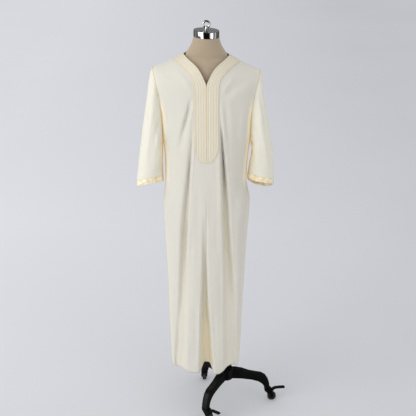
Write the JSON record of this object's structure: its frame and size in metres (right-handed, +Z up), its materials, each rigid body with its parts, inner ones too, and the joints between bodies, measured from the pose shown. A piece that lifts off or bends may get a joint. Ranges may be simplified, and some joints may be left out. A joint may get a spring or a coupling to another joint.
{
  "type": "embroidered robe on a rolling dress form",
  "caption": "Ankle-length cream robe with a U-shaped embroidered plastron and satin cuffs, worn by a limbless dress form on a rolling tripod stand.",
  "frame": {"origin": "on the floor, under the middle of the whole object's box", "axes": "+Z up, the robe's front faces -Y, the wearer's left is +X"},
  "size_m": [0.6316, 0.4515, 1.6936],
  "materials": {
    "robe": "soft matte cream cloth",
    "plastron": "cream cloth covered with tonal golden stitching",
    "braid": "pale gold braid",
    "cuff": "pale gold satin",
    "form_cover": "khaki jersey over a hard body",
    "chrome": "polished",
    "black_metal": "semi-gloss black paint",
    "iron": "semi-gloss black paint",
    "steel": "satin",
    "black_plastic": "matte",
    "wheel": "satin"
  },
  "bodies": {
    "base": {"tripod": "iron", "stand_tube": "black_metal"},
    "knob": {"clamp_screw": "steel"},
    "column": {"upper_pole": "chrome"},
    "form": {"torso": "form_cover", "neck_cap": "chrome", "cap_ring": "chrome", "pole_socket": "black_plastic", "robe_front": "robe", "robe_back": "robe", "sleeve_left": "robe", "sleeve_right": "robe", "cuff_left": "cuff", "cuff_right": "cuff", "plastron": "plastron", "border_braid": "braid", "centre_braid": "braid", "back_neckband": "plastron"},
    "fork_left": {"castor_fork_left": "black_metal"},
    "wheel_left": {"castor_wheel_left": "wheel"},
    "lever_left": {"brake_lever_left": "black_plastic"},
    "fork_front": {"castor_fork_front": "black_metal"},
    "wheel_front": {"castor_wheel_front": "wheel"},
    "lever_front": {"brake_lever_front": "black_plastic"},
    "fork_back": {"castor_fork_back": "black_metal"},
    "wheel_back": {"castor_wheel_back": "wheel"},
    "lever_back": {"brake_lever_back": "black_plastic"}
  },
  "joints": [
    {"name": "knob_turn", "type": "hinge", "parent": "base", "child": "knob", "pos_m": [0.055, -0.0094, 0.1735], "axis": [0.6157, -0.788, 0], "range_deg": [0, 90]},
    {"name": "column_slide", "type": "slide", "parent": "base", "child": "column", "axis": [0, 0, 1], "range_m": [0, 0.25]},
    {"name": "form_turn", "type": "hinge", "parent": "column", "child": "form", "pos_m": [0.055, -0.0094, 0.835], "axis": [0, 0, 1], "continuous": true},
    {"name": "swivel_left", "type": "hinge", "parent": "base", "child": "fork_left", "pos_m": [0.23697, -0.00622, 0.0597], "axis": [0, 0, 1], "continuous": true},
    {"name": "roll_left", "type": "hinge", "parent": "fork_left", "child": "wheel_left", "pos_m": [0.25797, -0.00586, 0.019], "axis": [-0.0175, 0.9998, 0], "continuous": true},
    {"name": "brake_left", "type": "hinge", "parent": "fork_left", "child": "lever_left", "pos_m": [0.26277, -0.00577, 0.046], "axis": [-0.0175, 0.9998, 0], "range_deg": [0, 12]},
    {"name": "swivel_front", "type": "hinge", "parent": "base", "child": "fork_front", "pos_m": [-0.03324, -0.16858, 0.0597], "axis": [0, 0, 1], "continuous": true},
    {"name": "roll_front", "type": "hinge", "parent": "fork_front", "child": "wheel_front", "pos_m": [-0.01763, -0.18263, 0.019], "axis": [0.6691, 0.7431, 0], "continuous": true},
    {"name": "brake_front", "type": "hinge", "parent": "fork_front", "child": "lever_front", "pos_m": [-0.01406, -0.18585, 0.046], "axis": [0.6691, 0.7431, 0], "range_deg": [0, 12]},
    {"name": "swivel_back", "type": "hinge", "parent": "base", "child": "fork_back", "pos_m": [-0.03874, 0.1466, 0.0597], "axis": [0, 0, 1], "continuous": true},
    {"name": "roll_back", "type": "hinge", "parent": "fork_back", "child": "wheel_back", "pos_m": [-0.04093, 0.16749, 0.019], "axis": [-0.9945, -0.1045, 0], "continuous": true},
    {"name": "brake_back", "type": "hinge", "parent": "fork_back", "child": "lever_back", "pos_m": [-0.04143, 0.17226, 0.046], "axis": [-0.9945, -0.1045, 0], "range_deg": [0, 12]}
  ]
}
